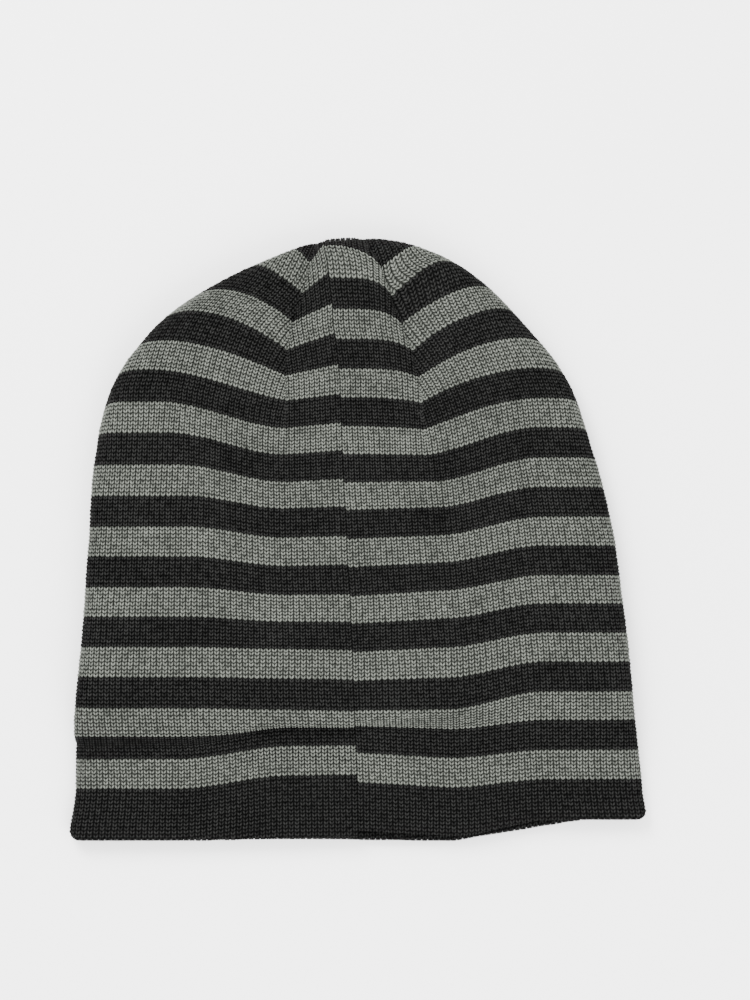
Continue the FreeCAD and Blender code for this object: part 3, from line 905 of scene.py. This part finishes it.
def overlock(name, node, path, width):
    """The thread that binds an allowance: slanting bars and a chain along one edge."""
    points, inward, side = even_path(*path, OVERLOCK_STEP)
    bm = bmesh.new()
    count = np.arange(len(points))

    def on_edge(place, across):
        point, outward, down = (np.array([np.interp(place, count, line[:, k]) for k in range(3)])
                                for line in (points, side, inward))
        return point + outward * across * width + down * THREAD_LEVEL

    for index in range(len(points) - 1):
        bars = [((-0.5, 0.0), (0.5, 0.33)), ((0.5, 0.33), (0.5, 1.33)), ((-0.5, 0.0), (-0.5, 1.0))]
        for (a0, b0), (a1, b1) in bars:
            thread = bmesh.ops.create_cone(bm, cap_ends=True, segments=5, radius1=1.0, radius2=1.0,
                                           depth=1.0)["verts"]
            ends = [on_edge(index + b, a) for a, b in ((a0, b0), (a1, b1))]
            run = Vector(ends[1] - ends[0])
            turn = run.to_track_quat("Z", "Y")
            middle = Vector((ends[0] + ends[1]) / 2)
            for vert in thread:
                spot = Vector((vert.co.x * THREAD_R, vert.co.y * THREAD_R,
                               vert.co.z * run.length))
                vert.co = (middle + turn @ spot) * MM
    for face in bm.faces:
        face.smooth = len(face.verts) == 4
    return new_piece(name, bm, (THREAD,), [node])


def bind_seam(node, path, width):
    """A seam's allowance and the thread that binds it."""
    seam_allowance("pressed_" + node, node, path, width)
    overlock("thread_" + node, node + "_overlock", path, width + THREAD_REACH)


def make_seams():
    seam = seam_path("centre_right", "back", "seam", *SEAM_COURSES)
    bind_seam("back_seam", seam, SEAM_WIDTH)
    for side, edge in (("left", "high"), ("right", "low")):
        for face in ("back", "front"):
            dart = seam_path(side, face, edge, *DART_COURSES)
            bind_seam("%s_dart_%s" % (face, side), dart, DART_ALLOWANCE)
        fold = seam_path(side, "back", "low" if edge == "high" else "high", *DART_COURSES)
        bind_seam("side_dart_" + side, fold, DART_ALLOWANCE)


def make_knot(name, node, centre, size, turns, radius):
    """A few turns of thread wound on themselves and drawn tight."""
    bm = bmesh.new()
    count = 14 * turns
    for index in range(count):
        a0, a1 = (2 * math.pi * turns * k / count for k in (index, index + 1))
        ends = []
        for a in (a0, a1):
            drift = 0.35 * math.sin(a / turns * 2.0)
            wide = 0.45 + 0.55 * abs(math.cos(0.41 * a))
            ends.append(Vector((math.cos(a) * wide * size[0],
                                (math.sin(a) * wide + drift) * size[1],
                                math.sin(a * 1.7 + 0.6) * size[2])))
        run = ends[1] - ends[0]
        thread = bmesh.ops.create_cone(bm, cap_ends=True, segments=6, radius1=radius,
                                       radius2=radius, depth=run.length * 1.12)["verts"]
        turn = run.to_track_quat("Z", "Y")
        middle = (ends[0] + ends[1]) / 2 + Vector(centre)
        for vert in thread:
            vert.co = (middle + turn @ vert.co) * MM
    for face in bm.faces:
        face.smooth = len(face.verts) == 4
    return new_piece(name, bm, (THREAD,), [node])


TACK_RISE = 1.1  # the hem tack's middle, over the facing's
CROWN_TACK_X = -7.0  # where the back seam ends


def make_tacks():
    edge, above = (on_hat(np.zeros(1), np.array([FIRST_ROW + 1.0]), np.full(1, height),
                          "centre_right", "back")[0][0] for height in (0.0, 1.0))
    spot = edge + (above - edge) * TACK_RISE
    make_knot("thread_hem_tack", "hem_tack", spot, (3.6, 0.6, 0.5), 3, 0.25)
    low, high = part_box("crown_tack")
    spot = (low + high) / 2 / MM
    make_knot("thread_crown_tack", "crown_tack", (CROWN_TACK_X, spot.y, spot.z),
              (2.6, 1.2, 1.3), 5, 0.3)


make_bands()
make_crown_end()
make_facing()
make_seams()
make_tacks()

# ------------------------------------------------------------ floor, lights and camera

FLOOR_HALF = 3.0  # metres
WORLD_LIGHT = 2.8
LENS, SENSOR = 120, 36
VIEW_HEIGHT = 382.2  # of what the camera sees, at the level of the hat's middle
VIEW_MIDDLE = (6.5, 14.9)


def make_stage():
    bm = bmesh.new()
    bmesh.ops.create_grid(bm, x_segments=1, y_segments=1, size=FLOOR_HALF)
    mesh = bpy.data.meshes.new("floor")
    bm.to_mesh(mesh)
    bm.free()
    floor = bpy.data.objects.new("floor", mesh)
    bpy.context.collection.objects.link(floor)
    paper, _, _, shader = new_material("floor_paper")
    shader.inputs["Base Color"].default_value = (0.95, 0.95, 0.95, 1)
    shader.inputs["Roughness"].default_value = 0.9
    mesh.materials.append(paper)


def add_light(name, place, size, power):
    """A square softbox that points at the hat."""
    light = bpy.data.lights.new(name, "AREA")
    light.size = size
    light.energy = power
    holder = bpy.data.objects.new(name, light)
    holder.location = place
    holder.rotation_euler = (-Vector(place)).to_track_quat("-Z", "Y").to_euler()
    bpy.context.collection.objects.link(holder)


def light_and_camera():
    world = bpy.data.worlds.new("studio")
    world.use_nodes = True
    background = world.node_tree.nodes["Background"]
    background.inputs["Color"].default_value = (1, 1, 1, 1)
    background.inputs["Strength"].default_value = WORLD_LIGHT
    bpy.context.scene.world = world
    add_light("softbox_key", (-0.45, 0.75, 0.95), 0.6, 36)
    add_light("softbox_fill", (0.35, -0.85, 0.9), 1.0, 26)
    lens = bpy.data.cameras.new("camera")
    lens.lens = LENS
    lens.sensor_width = SENSOR
    lens.clip_start = 0.01
    camera = bpy.data.objects.new("camera", lens)
    distance = VIEW_HEIGHT * LENS / SENSOR
    camera.location = Vector((*VIEW_MIDDLE, BODY_THICK / 2 + distance)) * MM
    bpy.context.collection.objects.link(camera)
    bpy.context.scene.camera = camera


make_stage()
light_and_camera()
